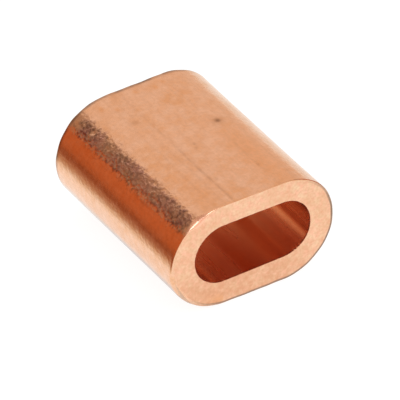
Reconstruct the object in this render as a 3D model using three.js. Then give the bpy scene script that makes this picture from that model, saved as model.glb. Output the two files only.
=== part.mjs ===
// Oval swage ferrule for 5 mm wire rope: a short cut of seamless drawn copper tube with an oval bore.
// The rope passes through the bore, turns back in a loop and returns beside itself, and the sleeve is
// then pressed flat around the two strands.
//
// Millimetres. X is across the oval's width, Y is along the sleeve and the rope, Z is up.
// The sleeve stands on its lower flat, with the origin at the middle of that flat.
import * as THREE from 'three';

const ROPE_DIAMETER = 5;
const ROPE_CLEARANCE = 0.5;
const WALL = 2.1;
const LENGTH = 18;
const EDGE_ROUNDING = 0.15;

const BORE_HEIGHT = ROPE_DIAMETER + ROPE_CLEARANCE;
const BORE_WIDTH = 2 * BORE_HEIGHT;
const OUTER_HEIGHT = BORE_HEIGHT + 2 * WALL;
const OUTER_WIDTH = BORE_WIDTH + 2 * WALL;

const ARC_STEPS = 20;
const ROUNDING_STEPS = 2;

// Draws a flat-sided oval: two parallel flats joined by half circles.
function drawOval(path, width, height) {
  const radius = height / 2;
  const halfFlat = width / 2 - radius;
  path.moveTo(-halfFlat, -radius);
  path.lineTo(halfFlat, -radius);
  path.absarc(halfFlat, 0, radius, -Math.PI / 2, Math.PI / 2, false);
  path.lineTo(-halfFlat, radius);
  path.absarc(-halfFlat, 0, radius, Math.PI / 2, Math.PI * 1.5, false);
  return path;
}

// The tube's cross-section: an even wall between the outer oval and the bore.
function sleeveSection() {
  const section = drawOval(new THREE.Shape(), OUTER_WIDTH, OUTER_HEIGHT);
  section.holes.push(drawOval(new THREE.Path(), BORE_WIDTH, BORE_HEIGHT));
  return section;
}

// The section drawn out along the rope's direction, with its outer and bore edges broken at both ends.
function sleeveGeometry() {
  return new THREE.ExtrudeGeometry(sleeveSection(), {
    depth: LENGTH - 2 * EDGE_ROUNDING,
    curveSegments: ARC_STEPS,
    bevelEnabled: true,
    bevelThickness: EDGE_ROUNDING,
    bevelSize: EDGE_ROUNDING,
    bevelOffset: -EDGE_ROUNDING,
    bevelSegments: ROUNDING_STEPS,
  });
}

function ferruleSleeve() {
  const drawnCopper = new THREE.MeshStandardMaterial({ color: 0xd9976f, roughness: 0.35, metalness: 1 });
  const sleeve = new THREE.Mesh(sleeveGeometry(), drawnCopper);
  sleeve.name = 'ferrule_sleeve';
  // The extrusion runs along Z, so it is turned to run along Y and lifted onto its lower flat.
  sleeve.rotation.x = Math.PI / 2;
  sleeve.position.set(0, LENGTH / 2 - EDGE_ROUNDING, OUTER_HEIGHT / 2);
  return sleeve;
}

const ferrule = new THREE.Group();
ferrule.add(ferruleSleeve());

export default ferrule;
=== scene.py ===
"""Looks for an oval copper swage ferrule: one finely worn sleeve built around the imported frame."""
import math

import bpy
import numpy as np
from mathutils import Matrix, Vector, noise


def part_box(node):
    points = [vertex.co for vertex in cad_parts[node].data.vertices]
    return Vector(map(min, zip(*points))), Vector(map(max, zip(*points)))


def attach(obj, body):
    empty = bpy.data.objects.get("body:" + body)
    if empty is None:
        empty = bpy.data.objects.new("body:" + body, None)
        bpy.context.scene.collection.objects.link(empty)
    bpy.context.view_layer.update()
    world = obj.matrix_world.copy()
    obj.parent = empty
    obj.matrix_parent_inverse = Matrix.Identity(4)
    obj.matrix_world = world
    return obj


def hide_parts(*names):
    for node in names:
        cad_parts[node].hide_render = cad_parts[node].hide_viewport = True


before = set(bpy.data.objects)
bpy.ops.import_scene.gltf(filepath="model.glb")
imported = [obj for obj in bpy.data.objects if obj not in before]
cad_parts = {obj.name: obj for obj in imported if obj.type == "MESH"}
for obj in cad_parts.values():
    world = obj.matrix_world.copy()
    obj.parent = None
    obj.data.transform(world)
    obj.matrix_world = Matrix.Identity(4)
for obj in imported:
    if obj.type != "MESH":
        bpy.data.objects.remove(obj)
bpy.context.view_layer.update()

MM = 0.001

# Driving sizes, in millimetres. The outside comes from the frame, and the wall is the design's own.
LOW, HIGH = (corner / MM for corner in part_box("ferrule_sleeve"))
WIDTH, LENGTH, HEIGHT = HIGH - LOW
CENTRE = (HIGH + LOW) / 2
WALL = 2.1
OUTER_RADIUS = HEIGHT / 2
HALF_FLAT = WIDTH / 2 - OUTER_RADIUS
OUTER_EDGE = 0.12
BORE_EDGE = 0.05

# How far the real piece strays from the drawing: an uneven wall, saw cuts a little out of square, wear
# that widens the front edge's rounding, and a surface that lies a hair below the drawing's.
BORE_RISE = 0.13
BORE_SHIFT = 0.07
THICK_WALL = {"right": 0.17, "left": 0.07, "below": 0.085, "below_per_mm": 0.02}
FRONT_CUT = {"inset": 0.10, "across": -0.012, "up": 0.003}
BACK_CUT = {"inset": 0.15, "across": 0.010, "up": 0.020}
WORN_SHOULDER = {"around": -5.15, "spread": 1.0, "extra": 0.44, "rubbed_and_highlight_spread": 1.5}
WORN_FOOT = {"around": -13.0, "spread": 3.2, "extra": 0.30}
BACK_EDGE_WEAR = 1.5
FULL_SHOULDER = {"turned": 50, "spread": 24, "extra": 0.07}
TORN_LIP = {"around": 15.9, "spread": 1.3, "everywhere": 0.05, "extra": 0.3}
PEEL_HEIGHT = 0.003
WAVE_HEIGHT = 0.012
SURFACE_SHRINK = 0.022

# The dark grainy band along the upper left bend, partly tarnish and partly painted reflection: its sides in
# degrees from straight up, and its ends.
GRAINY_BEND = {"low": -47.5, "high": -28.8, "front": -8.6, "back": 8.0}

# How far the painted edge shade darkens the front face beside its rim, and how far it reaches onto the side
# from the back end.
EDGE_SHADE_WIDTH = 0.09
BACK_EDGE_SHADE = 0.38

# Scores that the drawing die left along the top: arc length from the top's middle, and how dark.
DRAWING_LINES = ((-3.2, 0.13), (-2.35, 0.12), (-1.64, 0.34), (-0.3, 0.07), (2.6, 0.12), (4.3, 0.11))
LINE_WIDTH = 0.13
LINE_DEPTH = 0.015

# Small warm flecks: arc length from the top's middle, and place along the sleeve.
FLECKS = ((-3.9, 7.5), (-0.4, 7.9), (1.3, 7.6), (2.2, 7.9), (2.7, -5.8), (-2.9, 6.6))

# Mesh steps: round the oval, then along the closed profile of the wall.
FLAT_STEPS = 48
ARC_STEPS = 132
SIDE_STEPS = 150
EDGE_STEPS = 5
FACE_STEPS = 14
BORE_EDGE_STEPS = 3
BORE_STEPS = 60

# Reflectance of the metal, as linear colours.
COPPER = (0.90, 0.53, 0.335)
WARM_COPPER = (0.86, 0.465, 0.25)
PALE_COPPER = (0.94, 0.60, 0.42)
PINK_COPPER = (0.97, 0.555, 0.38)
YELLOW_COPPER = (0.95, 0.65, 0.43)
STAIN = (0.27, 0.135, 0.07)
# The bend's dark band: tarnish, darkened further as painted reflection. The first thin colour also tints
# the fine specks and lines everywhere.
DEEP_TARNISH_AND_REFLECTION = (0.25, 0.145, 0.09)
MAUVE_TARNISH_AND_REFLECTION = (0.31, 0.14, 0.13)
THIN_TARNISH_AND_REFLECTION = (0.60, 0.35, 0.22)
THIN_MAUVE_AND_REFLECTION = (0.60, 0.32, 0.27)
BLUSH = (0.87, 0.43, 0.20)
# Darker orange, in blotches towards the front face's lower left.
LOWER_LEFT_ORANGE = (0.72, 0.36, 0.20)
# The colour of the painted shade along the edges.
EDGE_SHADE = (0.24, 0.16, 0.12)
# The bore's copper, darker than the outside as painted shade in the recess.
BORE_COPPER = (0.77, 0.37, 0.22)
BORE_DARK = (0.70, 0.325, 0.195)
# The painted highlight of the bore's bright strips.
BORE_HIGHLIGHT = (0.98, 0.66, 0.44)
WHITE = (1.0, 1.0, 1.0)

# Radiance of the lit floor, which the copper shows as white, and how far it reaches in millimetres.
FLOOR_GLOW = 0.85
FLOOR_PAINT = 0.25
FLOOR_LIGHT = FLOOR_GLOW + FLOOR_PAINT
FLOOR_HALF = 3000

# The warm studio that the copper mirrors, near the horizon and above, and the lamp in it.
LOW_SKY = (0.83, 0.66, 0.53)
SKY = (0.85, 0.70, 0.60)
LAMP_TINT = (1.0, 1.05, 1.2)
LAMP_STRENGTH = 3.4

# A long lens above and in front of the sleeve's left side: angles in degrees, lengths in millimetres.
CAMERA_TURN = {"azimuth": -31.96, "elevation": 37.06, "roll": -0.82}
CAMERA_DISTANCE = 510.1
CAMERA_SHIFT = {"right": 0.59, "down": 1.02}
CAMERA_LENS = 572.5


# ---------------------------------------------------------------- shape

def oval_stations():
    """Stations once round from the top left: foot point on the middle line, normal, and arc length."""
    flat = np.linspace(-HALF_FLAT, HALF_FLAT, FLAT_STEPS, endpoint=False)
    turn = np.linspace(0, math.pi, ARC_STEPS, endpoint=False)
    right = np.full(ARC_STEPS, HALF_FLAT)
    foot = np.concatenate([flat, right, -flat, -right])
    angle = np.concatenate([0 * flat, turn, 0 * flat + math.pi, turn + math.pi])
    arc = OUTER_RADIUS * math.pi
    around = np.concatenate([
        flat,
        HALF_FLAT + OUTER_RADIUS * turn,
        flat + arc + 2 * HALF_FLAT,
        -HALF_FLAT - arc + OUTER_RADIUS * turn,
    ])
    around[around > arc + 2 * HALF_FLAT] -= 2 * arc + 4 * HALF_FLAT
    return foot, np.sin(angle), np.cos(angle), around


def crowded(steps):
    """Even steps from 0 to 1, drawn closer together towards both ends."""
    t = np.arange(steps) / steps
    return t - 0.5 * np.sin(2 * math.pi * t) / (2 * math.pi)


def wall_profile(front_edge, back_edge):
    """Rows round the wall's section: place along, depth below the outside, the normal's parts, and zone."""
    half = LENGTH / 2
    rows = []

    def run(steps, start, stop, out, axial, zone):
        for t in crowded(steps):
            along, depth = (a + (b - a) * t for a, b in zip(start, stop))
            rows.append((along, depth, out, axial, zone))

    def rounding(steps, end, radius, middle_depth, out_sign, from_side, zone):
        for step in range(steps):
            turn = math.pi / 2 * step / steps
            turn = turn if from_side else math.pi / 2 - turn
            along = end * (half - radius + radius * math.sin(turn))
            depth = middle_depth - out_sign * radius * math.cos(turn)
            rows.append((along, depth, out_sign * math.cos(turn), end * math.sin(turn), zone))

    bore_middle = WALL - BORE_EDGE
    run(SIDE_STEPS, (front_edge - half, 0), (half - back_edge, 0), 1, 0, "side")
    rounding(EDGE_STEPS, 1, back_edge, back_edge, 1, True, "rim")
    run(FACE_STEPS, (half, back_edge), (half, bore_middle), 0, 1, "face")
    rounding(BORE_EDGE_STEPS, 1, BORE_EDGE, bore_middle, -1, False, "lip")
    run(BORE_STEPS, (half - BORE_EDGE, WALL), (BORE_EDGE - half, WALL), -1, 0, "bore")
    rounding(BORE_EDGE_STEPS, -1, BORE_EDGE, bore_middle, -1, True, "lip")
    run(FACE_STEPS, (-half, bore_middle), (-half, front_edge), 0, -1, "face")
    rounding(EDGE_STEPS, -1, front_edge, front_edge, 1, False, "rim")
    columns = (np.stack([row[i] + 0 * front_edge for row in rows], 1) for i in range(4))
    return *columns, np.array([row[4] for row in rows])


def cut_plane(end, cut, x, z):
    """Where the saw left the end at each x and z."""
    return end * (LENGTH / 2 - cut["inset"]) + cut["across"] * x + cut["up"] * z


def noise_field(points, scale, octaves, seed):
    """Smooth noise, about -1 to 1, at each point."""
    shift = Vector((seed * 17.3, seed * 5.9, seed * 11.1))
    values = [
        noise.fractal(Vector(p) + shift, 1.0, 2.0, octaves, noise_basis="PERLIN_NEW")
        for p in (points * np.array(scale)).reshape(-1, 3)
    ]
    return np.array(values).reshape(points.shape[:-1])


def hill(value, centre, spread):
    """1 at the centre, falling smoothly to 0 a couple of spreads away."""
    return np.exp(-(((value - centre) / spread) ** 2))


def plateau(value, start, stop, fade):
    """1 between start and stop, with soft sides."""
    return 1 / (1 + np.exp((start - value) / fade)) / (1 + np.exp((value - stop) / fade))


def blemishes(around, along):
    """Pits, chips and drawing lines: how deep each vertex sinks, and how dark it is (below 0, a chip)."""
    sink = 0 * around
    stain = 0 * around

    def pit(place, radius, depth, darkness):
        place_around, place_along = place
        spread = hill(around, place_around, radius) * hill(along, place_along, radius)
        sink[:] += depth * spread
        stain[:] += darkness * spread

    pit((3.08, 1.0), radius=0.25, depth=0.035, darkness=0.75)
    pit((3.0, 0.9), radius=0.55, depth=0.0, darkness=0.17)
    pit((2.6, -5.8), radius=0.16, depth=0.03, darkness=0.20)
    pit((-2.67, 4.33), radius=0.28, depth=0.01, darkness=0.25)
    pit((-0.2, -0.7), radius=0.14, depth=0.02, darkness=0.30)
    pit((-0.35, -1.2), radius=0.12, depth=0.02, darkness=0.25)
    pit((-1.2, -5.6), radius=0.14, depth=0.02, darkness=0.25)
    pit((-5.75, 6.1), radius=0.22, depth=0.06, darkness=-1.2)
    pit((-5.33, -2.75), radius=0.16, depth=0.04, darkness=-1.0)
    pit((-4.95, 3.0), radius=0.14, depth=0.03, darkness=-0.8)
    pit((9.6, 3.0), radius=0.25, depth=0.05, darkness=0.5)
    pit((8.1, -5.2), radius=0.18, depth=0.04, darkness=0.4)
    for place, strength in DRAWING_LINES:
        drift = 0.03 * np.sin(0.8 * along + 3 * place)
        broken = 0.65 + 0.35 * np.sin(3.1 * along + place) * np.sin(1.3 * along + 2 * place)
        line = strength * broken * hill(around, place + drift, LINE_WIDTH)
        stain += line * (0.4 + 0.6 * plateau(along, -9, -1, 0.8))
        sink += LINE_DEPTH * line
    return sink, np.clip(stain, -1, 1)


def warm_patches(around, along):
    """Where heat left the copper a shade more orange."""
    right = 0.9 * hill(around, 3.1, 1.3) * plateau(along, -8.7, -1.5, 1.2)
    left = 0.6 * hill(around, -3.3, 0.8) * plateau(along, -8.5, -3.5, 0.8)
    middle = 0.35 * hill(around, -2.4, 0.6) * hill(along, 1.2, 1.8)
    flecks = sum(
        hill(around, place_around, 0.22) * hill(along, place_along, 0.3)
        for place_around, place_along in FLECKS
    )
    return np.clip(right + left + middle + flecks, 0, 1)


def bore_highlight_strips(around):
    """Painted highlights: bright strips along the bore's right side and floor, placed by the outside's arc
    length.
    """

    def strip(place, width, strength):
        return strength * hill(around, place, width)

    right_side = strip(10.4, width=1.6, strength=0.4)
    lower_right = strip(13.3, width=0.6, strength=1.0) + strip(15.8, width=1.3, strength=0.4)
    haze = strip(15.5, width=3.2, strength=0.14)
    floor = strip(19.1, width=0.35, strength=0.3) + strip(-19.7, width=0.4, strength=0.2)
    return right_side + lower_right + haze + floor


def turned_by(nx, nz):
    """Degrees from straight up, clockwise as seen from the front, -180 to 180."""
    return np.degrees(np.arctan2(nx, nz))


def ordinary_rounding(around):
    """The size of the slightly uneven rounding on both ends' outer edges."""
    return OUTER_EDGE * (1 + 0.25 * np.sin(around * 2.3) * np.sin(around * 0.9 + 1))


def front_rounding(around):
    """The size of the front edge's rounding, which wear has widened in two places."""
    rounding = ordinary_rounding(around)
    for wear in (WORN_SHOULDER, WORN_FOOT):
        rounding = rounding + wear["extra"] * hill(around, wear["around"], wear["spread"])
    return rounding


def extra_wall(nx, nz, foot):
    """How much thicker than the drawing the wall is, added inside the bore."""
    right = THICK_WALL["right"] * hill(turned_by(nx, nz), 85, 50)
    left = THICK_WALL["left"] * np.clip(-nx, 0, 1)
    below = (THICK_WALL["below"] + THICK_WALL["below_per_mm"] * foot) * np.clip(-nz, 0, 1) ** 2
    return right + left + below


def sleeve_shape():
    """Vertices as stations by rows, in millimetres about the centre, their zones, and painted weights."""
    foot, nx, nz, around = oval_stations()
    front_edge = front_rounding(around)
    back_edge = BACK_EDGE_WEAR * ordinary_rounding(around)
    along, depth, out, axial, zones = wall_profile(front_edge, back_edge)
    foot, nx, nz, around = (a[:, None] + 0 * along for a in (foot, nx, nz, around))
    turned = turned_by(nx, nz)
    lean = depth / WALL
    x = foot + nx * (OUTER_RADIUS - depth) + BORE_SHIFT * lean
    z = nz * (OUTER_RADIUS - depth) + BORE_RISE * lean
    front = cut_plane(-1, FRONT_CUT, x, z)
    back = cut_plane(1, BACK_CUT, x, z)
    y = front + (back - front) * (along + LENGTH / 2) / LENGTH
    points = np.stack([x, y, z], 2)
    normals = np.stack([nx * out, axial, nz * out], 2)

    outside = np.isin(zones, ("side", "rim"))
    near_end = hill(LENGTH / 2 - np.abs(along), 0, 2.4)
    sink, stain = blemishes(around, along)
    peel = noise_field(points, (1.9, 1.3, 1.9), 2, 1) * (1 - 0.45 * hill(turned, -95, 14))
    slow = noise_field(points, (0.35, 0.12, 0.35), 1, 2)
    lift = PEEL_HEIGHT * peel + WAVE_HEIGHT * slow - SURFACE_SHRINK - sink * outside
    points += normals * lift[:, :, None]

    swell = FULL_SHOULDER["extra"] * hill(turned, FULL_SHOULDER["turned"], FULL_SHOULDER["spread"])
    swell = swell * (0.6 + 0.4 * near_end)
    torn = TORN_LIP["everywhere"] + TORN_LIP["extra"] * hill(around, TORN_LIP["around"], TORN_LIP["spread"])
    front_lip = (zones == "lip") & (along < 0)
    torn = torn * front_lip * np.clip(noise_field(points, (3.2, 0.5, 3.2), 2, 3), 0, 1)
    outward = swell * (1 - lean) - extra_wall(nx, nz, foot) * lean - torn
    points[:, :, 0] += nx * outward
    points[:, :, 2] += nz * outward
    beside_rim = depth < front_edge[:, None] + EDGE_SHADE_WIDTH
    return points, zones, painted_weights(nx, nz, around, along, depth, zones, stain, beside_rim)


def painted_weights(nx, nz, around, along, depth, zones, stain, beside_rim):
    """What the materials need to know at each vertex."""
    turned = turned_by(nx, nz)
    outside = np.isin(zones, ("side", "rim"))
    on_front = along < 0
    on_side = zones == "side"
    on_rim = zones == "rim"
    front_face = (zones == "face") & on_front

    # Painted shade along the edges: the front rim mostly on the right and below, the whole back rim, the
    # side by the back end from the left over the top, and the front face beside its rim.
    front_edge_shade = np.clip(0.2 + 1.2 * (0.8 * nx - 0.6 * nz), 0, 1)
    edge_shade = np.where(on_front, front_edge_shade, 1.0) * on_rim
    back_edge_shade = 0.85 * plateau(along, LENGTH / 2 - BACK_EDGE_SHADE, LENGTH, 0.04) * plateau(turned, -110, 30, 12)
    edge_shade = np.maximum(edge_shade, back_edge_shade * on_side)
    edge_shade = np.maximum(edge_shade, 0.8 * front_edge_shade * beside_rim * front_face)

    # The bend's dark band: partly tarnish, partly painted reflection.
    bend_tarnish_and_reflection = plateau(turned, GRAINY_BEND["low"], 0, 2.6) * plateau(turned, -180, GRAINY_BEND["high"], 1.7)
    bend_tarnish_and_reflection = bend_tarnish_and_reflection * plateau(along, GRAINY_BEND["front"], GRAINY_BEND["back"], 0.3)
    foot_patch = hill(turned, -172, 14) * hill(depth, 0.6, 0.45) * front_face
    from_right = np.where(turned > 0, turned - 360, turned)
    # Darker orange blotches towards the lower left of the front face.
    lower_left = plateau(from_right, -205, -115, 12) * front_face
    # The worn front shoulder's paler copper: partly rubbed copper, partly a painted highlight under its
    # glint.
    rubbed_and_highlight = hill(around, WORN_SHOULDER["around"], WORN_SHOULDER["rubbed_and_highlight_spread"])
    return {
        "roundness": np.abs(nx),
        "stain": np.maximum(stain, 0) * outside,
        "edge_shade": edge_shade,
        "bend_tarnish_and_reflection": bend_tarnish_and_reflection * on_side * (1 + np.minimum(stain, 0)),
        "warmth": warm_patches(around, along) * outside + foot_patch,
        "bore_highlight": bore_highlight_strips(around) * (zones == "bore"),
        "lower_left_blotches": lower_left,
        "rubbed_and_highlight": rubbed_and_highlight * on_rim * on_front,
    }


def sleeve_mesh():
    points, zones, weights = sleeve_shape()
    stations, rows = points.shape[:2]
    places = (points.reshape(-1, 3) + np.array(CENTRE)) * MM
    index = np.arange(stations * rows).reshape(stations, rows)
    ahead = np.roll(index, -1, 0)
    quads = np.stack([index, ahead, np.roll(ahead, -1, 1), np.roll(index, -1, 1)], 2).reshape(-1, 4)
    mesh = bpy.data.meshes.new("ferrule_sleeve_fine")
    mesh.from_pydata(places.tolist(), [], quads.tolist())
    slots = {"side": 0, "rim": 0, "face": 1, "lip": 2, "bore": 2}
    kinds = np.tile([slots[zone] for zone in zones], stations)
    mesh.polygons.foreach_set("material_index", kinds.astype(np.int32))
    mesh.shade_smooth()
    for name, weight in weights.items():
        layer = mesh.attributes.new(name, "FLOAT", "POINT")
        layer.data.foreach_set("value", weight.reshape(-1).astype(np.float32))
    mesh.update()
    return mesh


# ---------------------------------------------------------------- materials

class Tree:
    """A short way to write shader nodes."""

    def __init__(self, owner):
        owner.use_nodes = True
        self.tree = owner.node_tree
        self.tree.nodes.clear()

    def add(self, kind, inputs=None, **settings):
        made = self.tree.nodes.new(kind)
        for name, value in settings.items():
            setattr(made, name, value)
        for name, value in (inputs or {}).items():
            self.feed(made.inputs[name], value)
        return made

    def feed(self, socket, value):
        if isinstance(value, bpy.types.NodeSocket):
            self.tree.links.new(value, socket)
        else:
            socket.default_value = value

    def weight(self, name):
        """A value painted on the mesh."""
        return self.add("ShaderNodeAttribute", attribute_name=name).outputs["Fac"]

    def noise(self, scale, detail=2.0, stretch=(1, 1, 1), low=0.35, high=0.65):
        """Noise at so many features a millimetre, stretched over 0 to 1."""
        place = self.add("ShaderNodeTexCoord").outputs["Object"]
        size = [factor / MM for factor in stretch]
        place = self.add("ShaderNodeMapping", {"Vector": place, "Scale": size}).outputs["Vector"]
        found = self.add("ShaderNodeTexNoise", {"Vector": place, "Scale": scale, "Detail": detail})
        return self.between(found.outputs["Fac"], 0, 1, low, high)

    def between(self, value, low, high, from_low=0.0, from_high=1.0):
        """Turns a range, 0 to 1 unless told otherwise, into low to high."""
        spans = {"Value": value, "To Min": low, "To Max": high, "From Min": from_low, "From Max": from_high}
        return self.add("ShaderNodeMapRange", spans).outputs["Result"]

    def mix(self, factor, first, second):
        """A blend of two colours. The node has inputs for every kind of data, so these go by number."""
        made = self.add("ShaderNodeMix", data_type="RGBA")
        self.feed(made.inputs[0], factor)
        self.feed(made.inputs[6], first)
        self.feed(made.inputs[7], second)
        return made.outputs[2]

    def math(self, operation, first, second):
        made = self.add("ShaderNodeMath", operation=operation)
        self.feed(made.inputs[0], first)
        self.feed(made.inputs[1], second)
        return made.outputs[0]

    def bump(self, height, depth_mm, under=None):
        made = self.add("ShaderNodeBump", {"Height": height, "Distance": depth_mm * MM})
        if under is not None:
            self.feed(made.inputs["Normal"], under)
        return made.outputs["Normal"]


def colour(rgb, factor=1.0):
    return (*(channel * factor for channel in rgb), 1.0)


def metal(tree, base, roughness, normal):
    shader = tree.add(
        "ShaderNodeBsdfPrincipled",
        {"Base Color": base, "Metallic": 1.0, "Roughness": roughness, "Normal": normal},
    )
    tree.add("ShaderNodeOutputMaterial", {"Surface": shader.outputs[0]})


def drawn_outside():
    """Bare drawn copper: soft mottling, fine lines along it, and dark open grain where it was bent, its
    darkness partly tarnish and partly painted reflection.
    """
    made = bpy.data.materials.new("copper_drawn_outside")
    tree = Tree(made)
    grain = tree.noise(3.1, 1.2)
    specks = tree.noise(3.8, 1, (1, 0.8, 1), 0.38, 0.64)
    lines = tree.noise(5.0, 3, (1, 0.04, 1))
    base = tree.mix(tree.noise(0.4, 4, (1, 0.8, 1)), colour(COPPER), colour(WARM_COPPER))
    base = tree.mix(tree.between(tree.noise(1.2, 4), 0, 0.8), base, colour(PALE_COPPER))
    base = tree.mix(tree.between(tree.weight("warmth"), 0, 0.75), base, colour(BLUSH))
    base = tree.mix(tree.between(specks, 0, 0.18), base, colour(THIN_TARNISH_AND_REFLECTION))
    base = tree.mix(tree.between(lines, 0, 0.10), base, colour(THIN_TARNISH_AND_REFLECTION))
    # The bend's dark band: partly tarnish, partly painted reflection.
    ragged = tree.math("ADD", tree.weight("bend_tarnish_and_reflection"), tree.between(grain, -0.28, 0.28))
    dark = tree.between(ragged, 0, 1, 0.28, 0.74)
    dark = tree.math("MULTIPLY", dark, tree.between(tree.noise(0.6, 2, (1, 0.6, 1)), 0.62, 1))
    hue = tree.noise(0.7, 2)
    deep_tarnish_and_reflection = tree.mix(hue, colour(DEEP_TARNISH_AND_REFLECTION), colour(MAUVE_TARNISH_AND_REFLECTION))
    thin_tarnish_and_reflection = tree.mix(hue, colour(THIN_TARNISH_AND_REFLECTION), colour(THIN_MAUVE_AND_REFLECTION))
    base = tree.mix(dark, base, tree.mix(specks, deep_tarnish_and_reflection, thin_tarnish_and_reflection))
    # Paler copper on the worn shoulder: partly rubbed, partly a painted highlight under its glint.
    base = tree.mix(tree.weight("rubbed_and_highlight"), base, colour(PINK_COPPER))
    base = tree.mix(tree.weight("stain"), base, colour(STAIN))
    # Painted shade along the edges.
    uneven = tree.between(tree.noise(1.3, 3), 0.45, 1)
    base = tree.mix(tree.math("MULTIPLY", tree.weight("edge_shade"), uneven), base, colour(EDGE_SHADE))
    roughness = tree.between(tree.noise(2.5, 3), 0.15, 0.22)
    roughness = tree.math("ADD", roughness, tree.math("MULTIPLY", dark, 0.06))
    roughness = tree.math("ADD", roughness, tree.math("MULTIPLY", tree.weight("rubbed_and_highlight"), 0.12))
    open_grain = tree.between(tree.weight("roundness"), 0.12, 0.17, 0, 0.4)
    open_grain = tree.math("ADD", open_grain, tree.weight("bend_tarnish_and_reflection"))
    normal = tree.bump(tree.math("MULTIPLY", grain, open_grain), 0.021)
    normal = tree.bump(lines, 0.0012, normal)
    metal(tree, base, roughness, normal)
    return made


def sawn_face():
    """The cut ends: pale, matt and finely grained."""
    made = bpy.data.materials.new("copper_sawn_face")
    tree = Tree(made)
    fine = tree.noise(4.5, 3)
    base = tree.mix(tree.noise(1.9, 2), colour(PINK_COPPER), colour(YELLOW_COPPER))
    base = tree.mix(tree.between(fine, 0, 0.40), base, colour(WARM_COPPER, 0.78))
    base = tree.mix(tree.between(tree.noise(0.8, 3), 0, 0.40), base, colour(WARM_COPPER, 0.88))
    base = tree.mix(tree.between(tree.weight("warmth"), 0, 0.8), base, colour(BLUSH))
    # Darker orange blotches towards the lower left.
    blotches = tree.between(tree.noise(2.4, 2), 0.2, 0.8)
    base = tree.mix(tree.math("MULTIPLY", tree.weight("lower_left_blotches"), blotches), base, colour(LOWER_LEFT_ORANGE))
    # Painted shade along the face's edges.
    base = tree.mix(tree.weight("edge_shade"), base, colour(EDGE_SHADE))
    roughness = tree.between(tree.noise(3.0, 3), 0.36, 0.5)
    normal = tree.bump(fine, 0.012)
    metal(tree, base, roughness, normal)
    return made


def glossy_bore():
    """The bore: copper darkened as painted shade of the recess, with long soft streaks and painted
    highlight strips.
    """
    made = bpy.data.materials.new("copper_drawn_bore")
    tree = Tree(made)
    streaks = tree.noise(0.6, 1.5, (1, 0.05, 1))
    # Both colours are darker than the outside's copper, as painted shade in the recess.
    base = tree.mix(streaks, colour(BORE_DARK), colour(BORE_COPPER))
    # Painted highlight strips.
    base = tree.mix(tree.weight("bore_highlight"), base, colour(BORE_HIGHLIGHT))
    roughness = tree.between(streaks, 0.22, 0.3)
    normal = tree.bump(streaks, 0.002)
    metal(tree, base, roughness, normal)
    return made


def build_sleeve():
    piece = bpy.data.objects.new("ferrule_sleeve_fine", sleeve_mesh())
    bpy.context.scene.collection.objects.link(piece)
    for material in (drawn_outside(), sawn_face(), glossy_bore()):
        piece.data.materials.append(material)
    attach(piece, "root")
    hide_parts("ferrule_sleeve")
    return piece


# ---------------------------------------------------------------- studio

def build_floor():
    """A wide pale floor, lit evenly from below like a light table, that the sleeve rests on."""
    half = FLOOR_HALF * MM
    mesh = bpy.data.meshes.new("floor")
    corners = [(-half, -half, 0), (half, -half, 0), (half, half, 0), (-half, half, 0)]
    mesh.from_pydata(corners, [], [(0, 1, 2, 3)])
    floor = bpy.data.objects.new("floor", mesh)
    bpy.context.scene.collection.objects.link(floor)
    paint = bpy.data.materials.new("lit_floor")
    tree = Tree(paint)
    matt = tree.add("ShaderNodeBsdfDiffuse", {"Color": colour(WHITE, FLOOR_PAINT)})
    glow = tree.add("ShaderNodeEmission", {"Color": colour(WHITE), "Strength": FLOOR_GLOW})
    both = tree.add("ShaderNodeAddShader")
    tree.feed(both.inputs[0], matt.outputs[0])
    tree.feed(both.inputs[1], glow.outputs[0])
    tree.add("ShaderNodeOutputMaterial", {"Surface": both.outputs[0]})
    mesh.materials.append(paint)


def reflected_card(name, corners, stops, strength=1.0):
    """A card that only reflections see. Its glow runs from its first edge to its third through stops."""
    mesh = bpy.data.meshes.new(name)
    mesh.from_pydata([tuple(c * MM for c in corner) for corner in corners], [], [(0, 1, 2, 3)])
    layer = mesh.uv_layers.new(name="height")
    for loop, uv in zip(layer.data, ((0, 0), (1, 0), (1, 1), (0, 1))):
        loop.uv = uv
    card = bpy.data.objects.new(name, mesh)
    bpy.context.scene.collection.objects.link(card)
    for kind in ("camera", "diffuse", "shadow", "transmission", "volume_scatter"):
        setattr(card, "visible_" + kind, False)
    paint = bpy.data.materials.new(name)
    tree = Tree(paint)
    uv = tree.add("ShaderNodeUVMap", uv_map="height").outputs["UV"]
    height = tree.add("ShaderNodeSeparateXYZ", {"Vector": uv}).outputs["Y"]
    ramp = tree.add("ShaderNodeValToRGB", {"Fac": height})
    while len(ramp.color_ramp.elements) < len(stops):
        ramp.color_ramp.elements.new(1.0)
    for element, (position, tint) in zip(ramp.color_ramp.elements, stops):
        element.position = position
        element.color = colour(tint)
    glow = tree.add("ShaderNodeEmission", {"Color": ramp.outputs["Color"], "Strength": strength})
    tree.add("ShaderNodeOutputMaterial", {"Surface": glow.outputs[0]})
    mesh.materials.append(paint)


def wall_card(name, x, front, back, fade):
    """An upright card: orange low down, dark above, and turning to sky at its top over the fade."""
    top = 75
    foot = (0.24, 0.070, 0.024)
    orange_low = (0.44, 0.130, 0.045)
    orange = (0.53, 0.152, 0.048)
    dark_low = (0.42, 0.265, 0.18)
    dark = (0.46, 0.325, 0.243)
    stops = [
        (0.0, foot),
        (0.06, orange_low),
        (0.14, orange),
        (0.285, orange),
        (0.32, dark_low),
        (min(0.5, 1 - fade), dark),
        (1 - fade, dark),
        (1.0, SKY),
    ]
    reflected_card(name, [(x, back, 0), (x, front, 0), (x, front, top), (x, back, top)], stops)


def floor_shade(name, corners, stops):
    """A tint lying on the floor: its corners as x and y, and its stops as shares of the floor's light."""
    just_above = 0.03
    reflected_card(name, [(x, y, just_above) for x, y in corners], stops, FLOOR_LIGHT)


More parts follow.
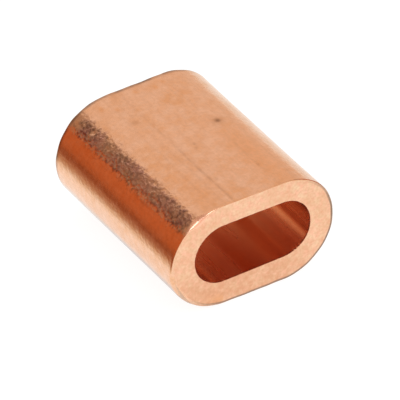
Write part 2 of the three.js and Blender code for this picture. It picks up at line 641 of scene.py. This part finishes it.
def build_cards():
    """What stands round the sleeve, seen only in the copper: side walls, floor shades and a lamp."""
    wall_card("left_wall", -30, front=-90, back=90, fade=0.04)
    wall_card("right_wall", 30, front=-14, back=10, fade=0.6)
    floor_shade(
        "left_floor_shade",
        [(-30, -90), (-30, 90), (-5.5, 90), (-18.0, -90)],
        [
            (0.0, (0.25, 0.071, 0.024)),
            (0.25, (0.325, 0.11, 0.05)),
            (0.55, (0.485, 0.28, 0.175)),
            (0.73, (0.68, 0.56, 0.43)),
            (0.87, (0.88, 0.84, 0.775)),
            (1.0, WHITE),
        ],
    )
    floor_shade(
        "foot_shade",
        [(-6.6, -12.5), (0, 14), (-7.3, 14), (-7.6, -12.5)],
        [(0.0, (0.74, 0.76, 0.79)), (0.45, (0.70, 0.79, 0.88)), (0.6, (0.79, 0.88, 0.94)), (1.0, WHITE)],
    )
    floor_shade(
        "right_floor_shade",
        [(12, 200), (12, -90), (160, -90), (160, 200)],
        [
            (0.0, (0.90, 0.90, 0.86)),
            (0.1, (0.91, 0.91, 0.89)),
            (0.3, (0.82, 0.82, 0.79)),
            (1.0, (0.76, 0.71, 0.64)),
        ],
    )
    reflected_card(
        "lamp",
        [(-110, -250, 125), (60, -250, 125), (60, -250, 230), (-110, -250, 230)],
        [(0.0, LAMP_TINT), (1.0, LAMP_TINT)],
        LAMP_STRENGTH,
    )


def build_world():
    """Soft studio light: white on the floor, a warm even sky in reflections, and a white backdrop."""
    world = bpy.data.worlds.new("studio")
    bpy.context.scene.world = world
    tree = Tree(world)
    path = tree.add("ShaderNodeLightPath")
    direction = tree.add("ShaderNodeTexCoord").outputs["Generated"]
    up = tree.add("ShaderNodeSeparateXYZ", {"Vector": direction}).outputs["Z"]
    height = tree.between(up, 0, 1, 0.05, 0.6)
    sky = tree.mix(height, colour(LOW_SKY), colour(SKY))
    shown = tree.mix(path.outputs["Is Glossy Ray"], colour(WHITE), sky)
    background = tree.add("ShaderNodeBackground", {"Color": shown})
    tree.add("ShaderNodeOutputWorld", {"Surface": background.outputs[0]})


def build_camera():
    """A long lens, above and in front of the sleeve's left side."""
    azimuth, elevation, roll = (
        math.radians(CAMERA_TURN[name]) for name in ("azimuth", "elevation", "roll")
    )
    back = Vector((
        math.sin(azimuth) * math.cos(elevation),
        -math.cos(azimuth) * math.cos(elevation),
        math.sin(elevation),
    ))
    level = Vector((math.cos(azimuth), math.sin(azimuth), 0))
    upright = back.cross(level)
    right = level * math.cos(roll) + upright * math.sin(roll)
    up = upright * math.cos(roll) - level * math.sin(roll)
    aim = right * CAMERA_SHIFT["right"] - up * CAMERA_SHIFT["down"]
    place = (CENTRE + back * CAMERA_DISTANCE + aim) * MM
    data = bpy.data.cameras.new("camera")
    data.lens = CAMERA_LENS
    data.sensor_width = 36
    data.clip_start = 0.01
    data.clip_end = 20
    camera = bpy.data.objects.new("camera", data)
    camera.matrix_world = Matrix.Translation(place) @ Matrix((right, up, back)).transposed().to_4x4()
    bpy.context.scene.collection.objects.link(camera)
    bpy.context.scene.camera = camera


build_camera()
build_sleeve()
build_floor()
build_cards()
build_world()
bpy.context.scene.view_settings.view_transform = "Standard"
